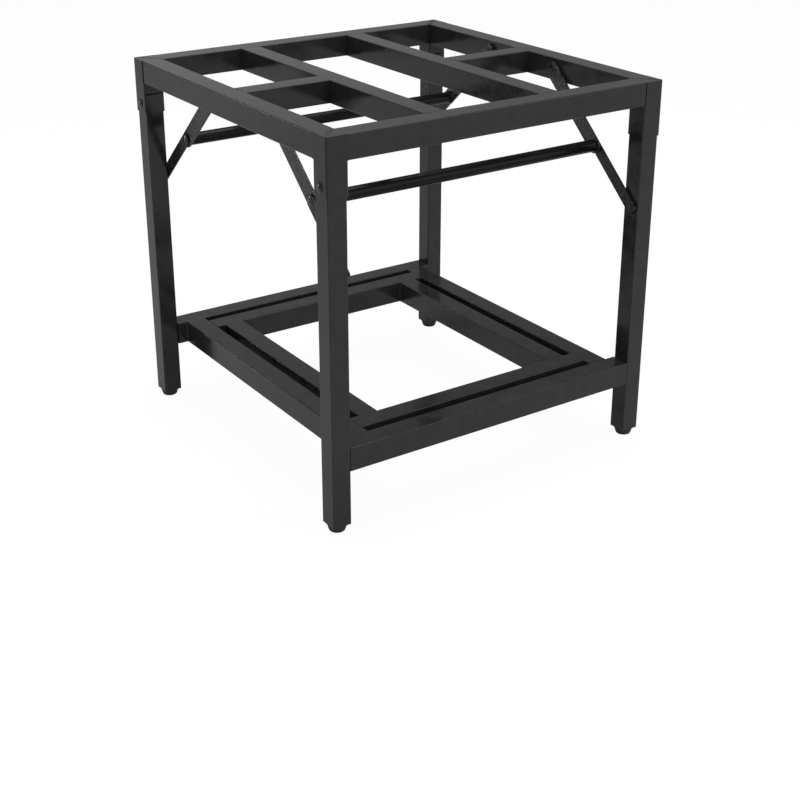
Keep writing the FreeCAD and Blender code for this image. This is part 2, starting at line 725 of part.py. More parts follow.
def make_low_rivet(name, side, end):
    """Shoulder rivet between leg and lower link, flush with the link."""
    shank, shoulder = "( pin_diameter / 2 )", "( shoulder_diameter / 2 )"
    start = f"( {LEG_INNER} + link_gap )"
    flush = f"( {LOWER_FACE} + lower_link_thickness )"
    corners = [
        (signed(side, start), "0"), (signed(side, start), shoulder),
        (signed(side, LOWER_FACE), shoulder), (signed(side, LOWER_FACE), shank),
        (signed(side, flush), shank), (signed(side, flush), "0"),
    ]
    body = make_turned(f"{name}_low_rivet", corners)
    y = f"{HALF_Y} - {FOOT_Y}"
    place(body, "0", y if end > 0 else f"- ( {y} )", FOOT_Z)
    return body


def make_rest_pin(name, side, end):
    """Pin on the leg's inner face that the low frame rests on."""
    radius = "( rest_pin_diameter / 2 )"
    tip = f"( {LEG_INNER} + rest_pin_length )"
    corners = [
        (signed(side, LEG_INNER), "0"), (signed(side, LEG_INNER), radius),
        (signed(side, tip), radius), (signed(side, tip), "0"),
    ]
    body = make_turned(f"{name}_rest_pin", corners)
    y = f"{HALF_Y} - {PIVOT_Y}"
    z = f"shelf_height - rest_pin_gap - {radius}"
    place(body, "0", y if end > 0 else f"- ( {y} )", z)
    return body


# Build every piece

make_top_frame()
for corner in CORNERS:
    make_post(*corner)
group("leg_pivot_bolts", [make_pivot_bolt(*corner) for corner in CORNERS])
group("brace_top_rivets", [make_top_rivet(*corner) for corner in CORNERS])

for corner in CORNERS:
    make_leg(*corner)
    make_hinge_plate(*corner)
    make_leg_plug(*corner)
    make_foot(*corner)
    make_upper_link(*corner)
    make_lower_link(*corner)

for pair, end in (("front", -1), ("back", 1)):
    corners = [corner for corner in CORNERS if corner[2] == end]
    make_rod(pair, end)
    group(f"{pair}_knee_rivets", [make_knee_rivet(*corner) for corner in corners])
    group(f"{pair}_low_rivets", [make_low_rivet(*corner) for corner in corners])
    group(f"{pair}_shelf_rest_pins", [make_rest_pin(*corner) for corner in corners])

make_shelf()
doc.recompute()

# Check every object, then write one file for each piece

for thing in doc.Objects:
    if "Invalid" in thing.State or "Error" in thing.State:
        raise RuntimeError(f"{thing.Label} is in state {thing.State}")
for node in nodes:
    if node.Shape.isNull() or not node.Shape.isValid() or not node.Shape.Solids:
        raise RuntimeError(f"{node.Label} has no sound shape")

os.makedirs("parts", exist_ok=True)
for node in nodes:
    node.Shape.exportStep(f"parts/{node.Label}.step")
    box = node.Shape.BoundBox
    print(f"{node.Label}: {len(node.Shape.Solids)} solids,"
          f" x {box.XMin:.1f} to {box.XMax:.1f},"
          f" y {box.YMin:.1f} to {box.YMax:.1f},"
          f" z {box.ZMin:.1f} to {box.ZMax:.1f},"
          f" {node.Shape.Volume / MM3_IN_CM3:.1f} cm3")
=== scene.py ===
# %% [markdown]
# # The steel frame of a folding heated table
# This lesson dresses a finished steel frame: a square of tubes on four
# folding legs, with a low frame of doubled tubes near the floor. The frame
# itself comes from a CAD model, so every tube, bolt and link is already in
# its place and at its real size. What is made here is what CAD leaves out:
# the black coats and plastics, the weld beads, the screw threads of the
# glides, and the studio that shows them. Everything is in metres, and +Z is
# up.

import json
import math
import random

import bmesh
import bpy
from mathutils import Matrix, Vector


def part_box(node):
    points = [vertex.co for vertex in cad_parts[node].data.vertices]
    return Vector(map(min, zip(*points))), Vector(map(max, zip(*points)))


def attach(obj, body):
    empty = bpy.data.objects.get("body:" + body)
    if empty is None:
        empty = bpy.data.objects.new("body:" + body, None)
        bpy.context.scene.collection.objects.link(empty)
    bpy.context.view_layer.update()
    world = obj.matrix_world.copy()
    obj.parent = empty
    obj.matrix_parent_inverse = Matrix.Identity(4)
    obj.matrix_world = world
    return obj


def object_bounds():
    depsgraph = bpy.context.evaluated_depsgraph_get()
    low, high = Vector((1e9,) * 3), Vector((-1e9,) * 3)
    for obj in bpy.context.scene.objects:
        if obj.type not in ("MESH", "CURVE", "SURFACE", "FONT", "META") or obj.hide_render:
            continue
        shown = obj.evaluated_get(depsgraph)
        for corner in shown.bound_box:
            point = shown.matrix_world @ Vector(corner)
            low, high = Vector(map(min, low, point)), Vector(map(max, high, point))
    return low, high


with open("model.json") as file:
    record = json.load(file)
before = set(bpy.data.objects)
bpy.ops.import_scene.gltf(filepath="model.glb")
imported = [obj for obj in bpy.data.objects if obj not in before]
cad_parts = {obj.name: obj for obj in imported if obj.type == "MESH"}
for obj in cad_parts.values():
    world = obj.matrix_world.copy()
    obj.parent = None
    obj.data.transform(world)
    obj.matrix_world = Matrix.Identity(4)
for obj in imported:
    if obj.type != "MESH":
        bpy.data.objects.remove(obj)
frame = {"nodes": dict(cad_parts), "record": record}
nodes = frame["nodes"]
frame_low, frame_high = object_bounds()
print("pieces of the frame:", len(nodes))
print("frame box:", [round(v, 4) for v in frame_high - frame_low])

# %% [markdown]
# ## A bench for shader trees
# A finish is a small tree of nodes. Placing each node by hand takes four or
# five lines, and the sums between them hide what the finish does. So one
# class wraps an output socket: adding, taking away or multiplying two of
# them adds the Math node. A second class holds the tree, and its one method
# makes any node from its kind, its settings and its sockets. Colours don't
# go through Math nodes, which would turn them grey, so they get a mix of
# their own.

# %% Wires that can be added and multiplied
class Wire:
    """One output of a shader tree. Sums of wires add Math nodes."""

    def __init__(self, bench, socket):
        self.bench = bench
        self.socket = socket

    def math(self, operation, first, second):
        settings, sockets = {"operation": operation}, {0: first, 1: second}
        return self.bench.node("ShaderNodeMath", settings, sockets)

    def __add__(self, other):
        return self.math("ADD", self, other)

    def __radd__(self, other):
        return self.math("ADD", other, self)

    def __sub__(self, other):
        return self.math("SUBTRACT", self, other)

    def __rsub__(self, other):
        return self.math("SUBTRACT", other, self)

    def __mul__(self, other):
        return self.math("MULTIPLY", self, other)

    def __rmul__(self, other):
        return self.math("MULTIPLY", other, self)

    def __pow__(self, other):
        return self.math("POWER", self, other)

    def __rpow__(self, other):
        return self.math("POWER", other, self)

# %% The bench that makes nodes
class Bench:
    """A shader tree, and the one way to put a node in it."""

    def __init__(self, owner):
        owner.use_nodes = True
        self.owner = owner
        self.tree = owner.node_tree
        self.tree.nodes.clear()

    def node(self, kind, settings=None, sockets=None, output=0):
        made = self.tree.nodes.new(kind)
        for key, value in (settings or {}).items():
            setattr(made, key, value)
        for key, value in (sockets or {}).items():
            if isinstance(value, Wire):
                self.tree.links.new(value.socket, made.inputs[key])
            else:
                made.inputs[key].default_value = value
        if len(made.outputs) == 0:
            return None
        return Wire(self, made.outputs[output])

    def blend(self, share, one, other):
        """Colour between one and other, by share."""
        settings = {"data_type": "RGBA"}
        sockets = {0: share, 6: one, 7: other}
        return self.node("ShaderNodeMix", settings, sockets, output=2)

print("bench ready")

# %% [markdown]
# ## Patterns that every finish needs
# The frame's pieces all sit at the origin with their place in the mesh, so
# Object coordinates are the real places on the frame in metres, and a
# pattern of 400 repeats has grains of about 2.5 mm on every piece. The
# alternative, UV maps, would have to be unwrapped for each tube. Noise gives
# the grain and the slow drift of tone. The Bevel node compares a rounded
# normal with the flat one, which finds the edges of any mesh, and it also
# gives pressed and sawn edges the small roundness that the coat leaves on
# them.

# %% Grain, flecks and edges
def grain(bench, repeats, detail=2.0):
    """Noise from 0 to 1 with so many repeats in a metre."""
    place = bench.node("ShaderNodeTexCoord", output="Object")
    sockets = {"Vector": place, "Scale": repeats, "Detail": detail}
    return bench.node("ShaderNodeTexNoise", None, sockets, output="Fac")


def stretch(bench, value, low, high):
    """Value stretched so that low is 0 and high is 1."""
    sockets = {"Value": value, "From Min": low, "From Max": high}
    return bench.node("ShaderNodeMapRange", {"clamp": True}, sockets)


BEVEL_SAMPLES = 4
FLAT_TURN, SHARP_TURN = 0.01, 0.2


def soft_normal(bench, radius):
    """Normal of edges that are rounded by this radius."""
    settings = {"samples": BEVEL_SAMPLES}
    return bench.node("ShaderNodeBevel", settings, {"Radius": radius})


def edges(bench, rounded):
    """1 on the sharp edges and 0 on the flats."""
    flat = bench.node("ShaderNodeNewGeometry", output="Normal")
    likeness = bench.node("ShaderNodeVectorMath", {"operation": "DOT_PRODUCT"},
                          {0: rounded, 1: flat}, output="Value")
    return stretch(bench, 1 - likeness, FLAT_TURN, SHARP_TURN)


def relief(bench, height, depth, rounded):
    """Normal of a surface whose grain is this deep, in metres."""
    sockets = {"Strength": 1.0, "Distance": depth, "Height": height,
               "Normal": rounded}
    return bench.node("ShaderNodeBump", None, sockets)

# %% [markdown]
# ## The black coat of the tubes
# The tubes are powder coated: a plastic powder is baked on the steel and
# flows out to a satin skin with a faint orange peel, 2 to 3 mm from dimple
# to dimple and a few thousandths deep. It is thinner on the corners, which
# look a little lighter and glossier. The wall of a drawn tube isn't quite
# flat either, and its low waves bend the reflections. Painting this on a
# picture would show its pixels close up, so noise in the real size does it:
# clouds and waves for the tone, the same waves for the swell of the wall,
# one grain for the peel, a finer one for the tooth, and the edge mask for
# the corners. On top of each corner of the frame the welds were ground
# flush, and a dull smear of the grinder still shows through the coat. It
# runs along the diagonal, where both places are the same distance from the
# middle.

# %% Powder coat
INK = (0.0125, 0.0127, 0.0132, 1)
INK_HIGH = (0.0225, 0.0228, 0.0236, 1)
INK_EDGE = (0.032, 0.032, 0.033, 1)
CLOUD_REPEATS = 7
WAVE_REPEATS = 42
PEEL_REPEATS = 420
SPECK_REPEATS = 1100
TOOTH_REPEATS = 2400
PEEL_DEPTH = 0.000018
WAVE_DEPTH = 0.00012
COAT_CORNER = 0.0006
SOFT = (0.35, 0.65)
RARE = (0.66, 0.74)


def close_finish(bench, colour, roughness, normal, **fixed):
    """The shader at the end of every finish, with its fixed values."""
    sockets = {"Base Color": colour, "Roughness": roughness, "Normal": normal}
    sockets.update(fixed)
    skin = bench.node("ShaderNodeBsdfPrincipled", None, sockets)
    bench.node("ShaderNodeOutputMaterial", None, {"Surface": skin})
    return bench.owner


INNER_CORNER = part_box("front_rail")[1].x
MARK_REPEATS = 150
MARK_WIDTH = 0.010
MARK_SKIN = 0.0006
MARK_TORN = (0.36, 0.56)


def size_of(bench, value):
    """The value without its sign."""
    settings = {"operation": "ABSOLUTE"}
    return bench.node("ShaderNodeMath", settings, {0: value})


def grinder_marks(bench):
    """Marks of the grinder on top, across each corner of the frame."""
    place = bench.node("ShaderNodeTexCoord", output="Object")
    x, y, z = (
        bench.node("ShaderNodeSeparateXYZ", None, {0: place}, output=axis)
        for axis in "XYZ"
    )
    x, y = size_of(bench, x), size_of(bench, y)
    diagonal = 1 - stretch(bench, size_of(bench, x - y), 0.0, MARK_WIDTH)
    inner, half, top = 2 * INNER_CORNER, MARK_WIDTH / 2, frame_high.z
    past = stretch(bench, x + y, inner - half, inner + half)
    skin = stretch(bench, z, top - MARK_SKIN, top - MARK_SKIN / 3)
    smear = stretch(bench, grain(bench, MARK_REPEATS, 3), *MARK_TORN)
    return diagonal * past * skin * smear


def powder_coat(name, satin, inks, gloss, corner=COAT_CORNER):
    """Coat that rounds the corners under it by this radius."""
    bench = Bench(bpy.data.materials.new(name))
    rounded = soft_normal(bench, corner)
    edge = edges(bench, rounded)
    clouds = stretch(bench, grain(bench, CLOUD_REPEATS, 3), *SOFT)
    waves = stretch(bench, grain(bench, WAVE_REPEATS, 3), *SOFT)
    peel = grain(bench, PEEL_REPEATS)
    tooth = grain(bench, TOOTH_REPEATS, 1)
    specks = stretch(bench, grain(bench, SPECK_REPEATS, 1), *RARE)
    marks = grinder_marks(bench)
    grit = clouds * 0.3 + waves * 0.5 + specks * 0.25
    tone = bench.blend(grit - marks, *inks)
    colour = bench.blend(edge * 0.5, tone, INK_EDGE)
    roughness = (satin + waves * 0.06 + tooth * 0.05 - edge * 0.05
                 + marks * 0.45)
    swell = relief(bench, waves - marks * 4, WAVE_DEPTH, rounded)
    normal = relief(bench, peel + tooth * 0.12, PEEL_DEPTH, swell)
    return close_finish(bench, colour, roughness, normal, IOR=gloss)


TUBE_SATIN, TUBE_GLOSS = 0.10, 1.42
TUBE_INKS = (INK, INK_HIGH)
tube_coat = powder_coat("satin_tube_coat", TUBE_SATIN, TUBE_INKS, TUBE_GLOSS)
print("coat:", tube_coat.name)

# %% [markdown]
# ## The coat of the braces
# The links of the braces are cut from rolled bar, whose skin is rougher than
# the skin of a drawn tube. The same powder lies on it like hammered paint,
# with dimples of 4 to 5 mm that break the reflection into light and dark
# spots. The dimples are real bumps, and their light and dark spots are also
# painted into the colour, as a painted reflection. The lower links get a
# darker copy of this coat with a weaker mirror: painted shade, for links
# that sit in the shade behind the legs. The rods between the knees get a
# darker copy of the tube coat, with a deeper black and a weaker mirror:
# painted shade, which keeps the rods dark under the frame.

# %% Hammered coat, its shaded copy and the rods' shaded coat
HAMMERED_SHEEN_INKS = ((0.0045, 0.0046, 0.0048, 1), (0.069, 0.069, 0.070, 1))
HAMMERED_SHADE_INKS = ((0.0028, 0.0029, 0.0030, 1), (0.037, 0.037, 0.038, 1))
ROD_SHADE_INKS = ((0.0050, 0.0051, 0.0054, 1), (0.0085, 0.0086, 0.0090, 1))
DIMPLE_REPEATS = 230
DIMPLE_DEPTH = 0.00026
BAR_TOOTH_REPEATS = 1700
BAR_CORNER = 0.0005


def hammered_coat(name, inks, gloss):
    bench = Bench(bpy.data.materials.new(name))
    rounded = soft_normal(bench, BAR_CORNER)
    edge = edges(bench, rounded)
    dimples = stretch(bench, grain(bench, DIMPLE_REPEATS, 1), 0.34, 0.66)
    tooth = grain(bench, BAR_TOOTH_REPEATS, 1)
    # Light and dark spots painted into the colour after the dimples: a painted reflection.
    tone = bench.blend((dimples ** 2) * 0.7 + tooth * 0.2, *inks)
    colour = bench.blend(edge * 0.3, tone, INK_EDGE)
    roughness = 0.20 + tooth * 0.08
    normal = relief(bench, dimples + tooth * 0.1, DIMPLE_DEPTH, rounded)
    return close_finish(bench, colour, roughness, normal, IOR=gloss)


brace_coat = hammered_coat("hammered_brace_coat", HAMMERED_SHEEN_INKS, 1.44)
# A darker copy of the hammered coat for the lower links: painted shade.
shaded_brace_coat = hammered_coat("hammered_shaded_coat", HAMMERED_SHADE_INKS, 1.34)
# A darker, weaker mirroring copy of the tube coat for the rods: painted shade.
rod_shaded_coat = powder_coat("rod_painted_shade_coat", 0.18, ROD_SHADE_INKS, 1.22)
print("coats:", brace_coat.name, shaded_brace_coat.name, rod_shaded_coat.name)

# %% [markdown]
# ## Bolts and rivets
# The bolts and rivets are steel, blackened in a bath. That leaves a dark
# metal with a soft shine, and the crown of each head is rubbed a little
# brighter when it is set. A metal has no colour of its own under the
# reflection, so Metallic is 1 and the dark tone is its reflection. The crown
# is found by how squarely the surface faces the side, because every head
# points to the left or right.

# %% Blackened steel
BATH_BLACK, RUBBED = (0.035, 0.035, 0.037, 1), (0.17, 0.167, 0.160, 1)
HEAD_CORNER = 0.0003
MOTTLE_REPEATS = 260
MOTTLE_DEPTH = 0.00002
CROWN_FALL = 12
WIDE = (0.3, 0.7)


def blackened_steel(name):
    bench = Bench(bpy.data.materials.new(name))
    rounded = soft_normal(bench, HEAD_CORNER)
    edge = edges(bench, rounded)
    facing = bench.node("ShaderNodeNewGeometry", output="Normal")
    sideways = bench.node("ShaderNodeVectorMath", {"operation": "ABSOLUTE"},
                          {0: facing})
    side = bench.node("ShaderNodeSeparateXYZ", None, {0: sideways},
                      output="X")
    mottle = stretch(bench, grain(bench, MOTTLE_REPEATS, 4), *WIDE)
    crown = side ** CROWN_FALL * mottle
    colour = bench.blend(crown * 0.5 + edge * 0.15, BATH_BLACK, RUBBED)
    roughness = 0.16 + mottle * 0.06 - crown * 0.03
    normal = relief(bench, mottle, MOTTLE_DEPTH, rounded)
    return close_finish(bench, colour, roughness, normal, Metallic=1.0)


fastener_steel = blackened_steel("blackened_fasteners")
print("fasteners:", fastener_steel.name)

# %% [markdown]
# ## Glide feet and plugs
# The feet are moulded in a hard black plastic. The mould is etched, so the
# pad has a fine even stipple and looks greyer than the coat. The rim that
# stands on the floor is scuffed, and dust stays in the stipple there. The
# height above the floor gives that mask, and it stays with the foot when it
# is screwed out, because Object coordinates move with the piece.

# %% Moulded plastic
DUST = (0.075, 0.072, 0.067, 1)
DUST_FULL, DUST_END = 0.0005, 0.005
STIPPLE_REPEATS = 1500.0
STIPPLE_DEPTH = 0.00008
DRIFT_REPEATS = 60
MOULD_CORNER = 0.0005


def moulded_plastic(name, ink, dusty):
    bench = Bench(bpy.data.materials.new(name))
    rounded = soft_normal(bench, MOULD_CORNER)
    place = bench.node("ShaderNodeTexCoord", output="Object")
    height = bench.node("ShaderNodeSeparateXYZ", None, {0: place}, output="Z")
    low = 1 - stretch(bench, height, DUST_FULL, DUST_END)
    sockets = {"Vector": place, "Scale": STIPPLE_REPEATS}
    cells = bench.node("ShaderNodeTexVoronoi", None, sockets,
                       output="Distance")
    drift = stretch(bench, grain(bench, DRIFT_REPEATS, 3), *WIDE)
    colour = bench.blend(low * drift * dusty, ink, DUST)
    roughness = 0.46 + drift * 0.08 + low * 0.12
    normal = relief(bench, cells, STIPPLE_DEPTH, rounded)
    return close_finish(bench, colour, roughness, normal, IOR=1.46)


foot_plastic = moulded_plastic("foot_plastic", (0.016, 0.016, 0.017, 1), 0.7)
plug_plastic = moulded_plastic("plug_plastic", (0.022, 0.022, 0.022, 1), 0.0)
print("plastics:", foot_plastic.name, plug_plastic.name)

# %% [markdown]
# ## Give each piece its finish
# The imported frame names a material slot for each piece, and the finishes
# here have the names of those slots. So the piece's own slot tells which
# finish it gets, and a piece that is added to the frame later is dressed
# without a new line. Writing the list of pieces out would go wrong with the
# first one that is renamed. Three kinds of brace pieces differ from the rest
# of their slot and are told apart by the end of their names.

# %% Dress the CAD pieces
FINISHES = {
    "tube_coat": tube_coat,
    "brace_coat": brace_coat,
    "blackened_fasteners": fastener_steel,
    "foot_plastic": foot_plastic,
    "plug_plastic": plug_plastic,
}
# The lower links and the rods take the darker copies of their coats, which are painted
# shade.
OWN_FINISHES = {
    "_brace_rod": rod_shaded_coat,
    "_lower_link": shaded_brace_coat,
    "_hinge_plate": tube_coat,
}

for part in frame["record"]["subparts"]:
    piece = nodes[part["node"]]
    finish = FINISHES[part["material_slot"]]
    for ending, own_finish in OWN_FINISHES.items():
        if part["node"].endswith(ending):
            finish = own_finish
    piece.data.materials.clear()
    piece.data.materials.append(finish)

# %% [markdown]
# ## Weld beads
# The tubes are welded where they meet. The seams of the top frame are ground
# flush before the coat is baked on. Only the beads under the ends of its
# rails and those in the corners of the low frame stay, as small ribs with
# the ripple that the torch leaves. A curve with a round section would sink
# into both walls by halves. Here each bead is swept by hand instead: a
# section with two feet on the walls and a hollow between them, made wider
# and narrower along its length.

# %% One bead
BEAD_FOOT = 0.0012
BEAD_STEP = 0.0005
HOLLOW_STEPS = 6
RIPPLE = 0.0011
RIPPLE_SHARE, DRIFT_SHARE = 0.10, 0.08
DRIFT_TURN = 190
END_SHARE, END_SLOPE = 0.45, 5
SUNK = 0.0004

torch = random.Random(11)


def bead_section(size):
    """Points of a hollow bead's section, along its two wall directions."""
    ring = [(-SUNK, -SUNK), (size, -SUNK)]
    for step in range(HOLLOW_STEPS + 1):
        turn = math.pi / 2 * step / HOLLOW_STEPS
        out, up = 1 - math.sin(turn), 1 - math.cos(turn)
        ring.append((size * out, size * up))
    ring.append((-SUNK, size))
    return ring


def lay_bead(mesh, start, end, wall_one, wall_two):
    """A closed bead from start to end, in the corner of two walls."""
    run = end - start
    count = max(2, round(run.length / BEAD_STEP))
    wander = torch.uniform(0, math.tau)
    rings = []
    for step in range(count + 1):
        share = step / count
        along = run.length * share
        taper = min(1.0, END_SHARE + END_SLOPE * min(share, 1 - share))
        wave = RIPPLE_SHARE * math.sin(math.tau * along / RIPPLE)
        drift = DRIFT_SHARE * math.sin(along * DRIFT_TURN + wander)
        size = BEAD_FOOT * taper * (1 + wave + drift)
        spot = start + run * share
        rings.append([
            mesh.verts.new(spot + wall_one * a + wall_two * b)
            for a, b in bead_section(size)
        ])
    for one, two in zip(rings, rings[1:]):
        for i in range(len(one)):
            j = (i + 1) % len(one)
            mesh.faces.new((one[i], one[j], two[j], two[i]))
    mesh.faces.new(list(reversed(rings[0])))
    mesh.faces.new(rings[-1])


def finish_piece(name, mesh, coat, body, smooth=True):
    """Turn worked mesh into a piece that rides on a body."""
    bmesh.ops.recalc_face_normals(mesh, faces=mesh.faces)
    data = bpy.data.meshes.new(name)
    mesh.to_mesh(data)
    mesh.free()
    data.polygons.foreach_set("use_smooth", [smooth] * len(data.polygons))
    data.materials.append(coat)
    piece = bpy.data.objects.new(name, data)
    bpy.context.scene.collection.objects.link(piece)
    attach(piece, body)
    print(name, "faces:", len(data.polygons))
    return piece

# %% [markdown]
# ## Where the beads lie
# A low bar that ends against another tube has an upright bead on each side.
# The corner is known from the bar's own box: its side gives one wall, and
# its end, which meets the other tube's face, gives the second. So the beads
# are placed from the pieces themselves, and a bar that moves in the CAD takes
# its beads along. Under the rails, a short level bead joins each rail's end
# to its corner post.

# %% Upright beads beside the end of a bar
INSET = 0.0022


def beads_at_end(mesh, bar, along, end):
    """Two upright beads where a bar along X or Y meets a tube at its end."""
    low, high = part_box(bar)
    across = 1 - along
    meets = (high if end > 0 else low)[along]
    for side in (-1, 1):
        corner = Vector((0, 0, 0))
        corner[along] = meets
        corner[across] = (high if side > 0 else low)[across]
        back, out = Vector((0, 0, 0)), Vector((0, 0, 0))
        back[along], out[across] = -end, side
        foot, top = corner.copy(), corner.copy()
        foot.z, top.z = low.z + INSET, high.z - INSET
        lay_bead(mesh, foot, top, out, back)


ALONG_X, ALONG_Y = 0, 1
LOW_BARS = {
    "shelf_left_tube": ALONG_Y, "shelf_right_tube": ALONG_Y,
    "shelf_front_cross_tube": ALONG_X, "shelf_back_cross_tube": ALONG_X,
    "shelf_left_inner_tube": ALONG_Y, "shelf_right_inner_tube": ALONG_Y,
}

# %% Level beads under the rail ends
RAILS = {
    "front_rail": ALONG_X, "back_rail": ALONG_X,
    "left_rail": ALONG_Y, "right_rail": ALONG_Y,
}


def bead_under_end(mesh, rail, along, end):
    """A level bead in the corner under a rail's end, on the post's wall."""
    low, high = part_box(rail)
    across = 1 - along
    start, stop = Vector((0, 0, low.z)), Vector((0, 0, low.z))
    start[along] = stop[along] = (high if end > 0 else low)[along]
    start[across] = low[across] + INSET
    stop[across] = high[across] - INSET
    back = Vector((0, 0, 0))
    back[along] = -end
    lay_bead(mesh, start, stop, back, Vector((0, 0, -1)))


top_beads = bmesh.new()
for rail, along in RAILS.items():
    for end in (-1, 1):
        bead_under_end(top_beads, rail, along, end)
finish_piece("top_frame_weld_beads", top_beads, tube_coat,
             "top_frame")

low_beads = bmesh.new()
for bar, along in LOW_BARS.items():
    for end in (-1, 1):
        beads_at_end(low_beads, bar, along, end)
finish_piece("low_frame_weld_beads", low_beads, tube_coat,
             "low_frame")

# %% [markdown]
# ## The ground welds of the front corner
# A corner post has rounded edges, so a narrow groove stays where a rail ends
# against it. On the corner nearest the viewer both grooves are filled with
# weld and ground flush, and under the coat nothing shows of them: their
# own coat is the one of the tubes, but without the rounded corners, which
# would draw a line at each seam. On the side the weld also laps a hair's
# breadth over the sawn end of the rail. On the other corners a matt black
# strip lies in the groove: painted shade, which stands for the shade in the
# open seam. On the sides it stands proud and laps over the rail, and at the
# front and back it stays just below the faces, so that nothing adds to the
# depth of the table. All are prisms: the outer side is flat, and the round
# side follows the edge of the post.

# %% Fill the grooves beside one post
POST_EDGE = 0.0030
ARC_STEPS = 8


def groove_section(sunk, lap):
    """The groove's filling, as steps into the post and inwards."""
    first = math.acos(1 - max(sunk, 0) / POST_EDGE)
    ring = [(0.0, sunk)]
    if lap:
        ring = [(POST_EDGE, sunk), (-lap, sunk), (-lap, SUNK), (0.0, SUNK)]
    for step in range(ARC_STEPS + 1):
        turn = first + (math.pi / 2 - first) * step / ARC_STEPS
        into_post, inwards = 1 - math.sin(turn), 1 - math.cos(turn)
        ring.append((POST_EDGE * into_post, POST_EDGE * inwards))
    return ring


def fill_groove(mesh, rail, along, end, outward, sunk=0.0, lap=0.0):
    """Prism beside a rail's end, this far under its outward face."""
    low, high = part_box(rail)
    across = 1 - along
    rings = []
    for height in (low.z, high.z):
        ring = []
        for into_post, inwards in groove_section(sunk, lap):
            spot = Vector((0, 0, height))
            rail_end = (high if end > 0 else low)[along]
            face = (high if outward > 0 else low)[across]
            spot[along] = rail_end + end * into_post
            spot[across] = face - outward * inwards
            ring.append(mesh.verts.new(spot))
        rings.append(ring)
    one, two = rings
    for i in range(len(one)):
        j = (i + 1) % len(one)
        mesh.faces.new((one[i], one[j], two[j], two[i]))
    mesh.faces.new(list(reversed(one)))
    mesh.faces.new(two)


WELD_PROUD = -0.00002
WELD_LAP = 0.0012
WELD_CORNER = 0.00001

ground_coat = powder_coat("ground_weld_coat", TUBE_SATIN, TUBE_INKS,
                          TUBE_GLOSS, WELD_CORNER)
welds = bmesh.new()
fill_groove(welds, "front_rail", ALONG_X, -1, -1)
fill_groove(welds, "left_rail", ALONG_Y, -1, -1, WELD_PROUD, WELD_LAP)
finish_piece("front_left_ground_welds", welds, ground_coat,
             "top_frame", smooth=False)

# %% Painted shade strips in the other grooves
SHADE_STRIP_SUNK = 0.00005
SHADE_STRIP_PROUD = -0.00015
SHADE_STRIP_LAP = 0.0018
SUNK_SHADE_STRIPS = [
    ("front_rail", ALONG_X, 1, -1), ("back_rail", ALONG_X, -1, 1),
    ("back_rail", ALONG_X, 1, 1),
]
PROUD_SHADE_STRIPS = [
    ("left_rail", ALONG_Y, 1, -1), ("right_rail", ALONG_Y, -1, 1),
    ("right_rail", ALONG_Y, 1, 1),
]


# The strips are a matt black sheet in the open seams: painted shade.
SHADE_STRIP_INKS = ((0.0025, 0.0025, 0.0026, 1), (0.0050, 0.0050, 0.0051, 1))
STRIP_GRAIN_REPEATS = 700
STRIP_GRAIN_DEPTH = 0.0002


def painted_shade_strip_finish(name):
    bench = Bench(bpy.data.materials.new(name))
    strip_grain = grain(bench, STRIP_GRAIN_REPEATS, 2)
    colour = bench.blend(strip_grain, *SHADE_STRIP_INKS)
    flat = bench.node("ShaderNodeNewGeometry", output="Normal")
    normal = relief(bench, strip_grain, STRIP_GRAIN_DEPTH, flat)
    return close_finish(bench, colour, 0.7 + strip_grain * 0.2, normal, IOR=1.2)


# Lay the painted shade strips in the grooves.
shade_strips = bmesh.new()
for strip in SUNK_SHADE_STRIPS:
    fill_groove(shade_strips, *strip, SHADE_STRIP_SUNK)
for strip in PROUD_SHADE_STRIPS:
    fill_groove(shade_strips, *strip, SHADE_STRIP_PROUD, SHADE_STRIP_LAP)
finish_piece("corner_joint_painted_shade", shade_strips, painted_shade_strip_finish("matt_joint_painted_shade"),
             "top_frame", smooth=False)

# %% [markdown]
# ## Threads of the glides
# Each foot screws into the plug at the end of its leg on an 8 mm stud. At
# rest the thread is hidden in the leg, but it shows when a foot is screwed
# out to level the table. A picture of a thread on a plain rod gives itself
# away at its edge, so the crest is a real spiral: a small three-sided
# section carried up and round the stud, 1.25 mm a turn.

# %% A spiral crest on each stud
STUD_RADIUS = 0.004
PITCH = 0.00125
CREST = 0.00032
CREST_FOOT_SHARE = 0.38
STEPS_IN_TURN = 28
THREAD_START, THREAD_STOP = 0.0255, 0.0015
FIRST_FADE = 0.05


def wind_thread(name, foot, body):
    low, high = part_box(foot)
    middle = (low + high) / 2
    start, stop = high.z - THREAD_START, high.z - THREAD_STOP
    steps = round((stop - start) / PITCH * STEPS_IN_TURN)
    root = STUD_RADIUS - SUNK / 2
    foot_up = Vector((0, 0, PITCH * CREST_FOOT_SHARE))
    mesh = bmesh.new()
    rings = []
    for step in range(steps + 1):
        turn = math.tau * step / STEPS_IN_TURN
        rise = start + PITCH * step / STEPS_IN_TURN
        nearest_end = min(step, steps - step) / STEPS_IN_TURN
        fade = min(1.0, nearest_end + FIRST_FADE)
        out = Vector((math.cos(turn), math.sin(turn), 0))
        base = Vector((middle.x, middle.y, rise))
        rings.append([
            mesh.verts.new(base + out * root - foot_up),
            mesh.verts.new(base + out * (STUD_RADIUS + CREST * fade)),
            mesh.verts.new(base + out * root + foot_up),
        ])
    for one, two in zip(rings, rings[1:]):
        for i in range(3):
            j = (i + 1) % 3
            mesh.faces.new((one[i], one[j], two[j], two[i]))
    mesh.faces.new(list(reversed(rings[0])))
    mesh.faces.new(rings[-1])
    finish_piece(name, mesh, fastener_steel, body)


for corner in ("front_left", "front_right", "back_left", "back_right"):
    wind_thread(f"{corner}_stud_thread", f"{corner}_foot", f"{corner}_glide")

